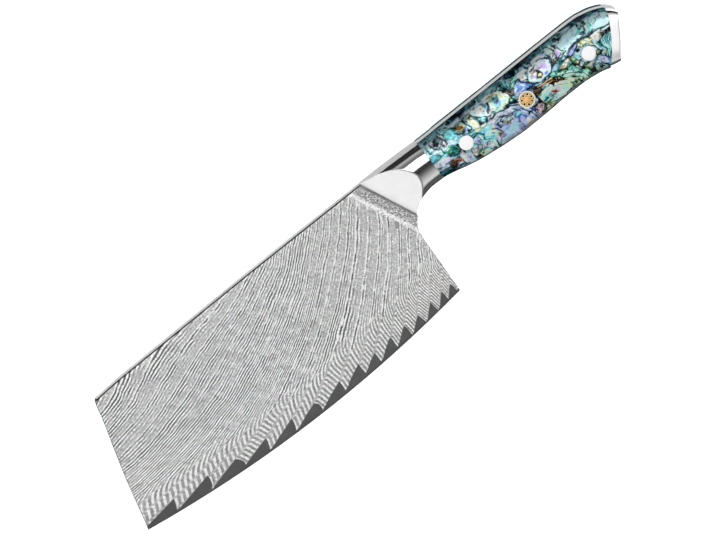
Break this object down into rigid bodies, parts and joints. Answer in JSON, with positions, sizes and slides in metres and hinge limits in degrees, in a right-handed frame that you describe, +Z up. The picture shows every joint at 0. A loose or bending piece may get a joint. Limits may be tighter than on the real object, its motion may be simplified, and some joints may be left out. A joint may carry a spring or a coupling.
{
  "type": "nakiri knife",
  "caption": "Square-ended vegetable knife: layered damascus blade with toothed core line, sloped steel bolster, full tang, shell-and-resin scales, flush rivets, mosaic pin and butt cap.",
  "frame": {"origin": "under the middle of the knife's box, on the surface that it lies on", "axes": "+X along the length from the square tip to the butt, +Y from the cutting edge to the spine, +Z up, out of the left face; the knife lies on its right side, pitched 2.352 degrees about Y so that the tip corner and the handle carry it"},
  "size_m": [0.3134, 0.075, 0.0222],
  "materials": {
    "core_steel": "ground, dark etched core steel",
    "damascus_steel": "etched layered steel, light grey with white and dark grey streaks",
    "satin_steel": "fine satin to polished stainless steel",
    "polished_steel": "mirror polished stainless steel",
    "abalone_resin": "abalone shell pieces in clear gloss resin",
    "epoxy": "dark epoxy bond line",
    "pin_brass": "polished pale brass",
    "pin_copper": "polished copper",
    "black_resin": "black casting resin, ground flush"
  },
  "bodies": {
    "root": {"core_steel": "core_steel", "cladding_left": "damascus_steel", "cladding_right": "damascus_steel", "bolster": "satin_steel", "tang": "satin_steel", "butt_cap": "polished_steel", "scale_left": "abalone_resin", "scale_right": "abalone_resin", "bond_film_left": "epoxy", "bond_film_right": "epoxy", "rivet_front": "polished_steel", "rivet_rear": "polished_steel", "mosaic_sleeve": "pin_brass", "mosaic_core_rod": "pin_copper", "mosaic_filler": "pin_brass", "mosaic_tube_1": "pin_brass", "resin_plug_1": "black_resin", "mosaic_tube_2": "pin_brass", "resin_plug_2": "black_resin", "mosaic_tube_3": "pin_brass", "resin_plug_3": "black_resin", "mosaic_tube_4": "pin_brass", "resin_plug_4": "black_resin", "mosaic_tube_5": "pin_brass", "resin_plug_5": "black_resin", "mosaic_tube_6": "pin_brass", "resin_plug_6": "black_resin", "mosaic_tube_7": "pin_brass", "resin_plug_7": "black_resin"}
  },
  "joints": []
}
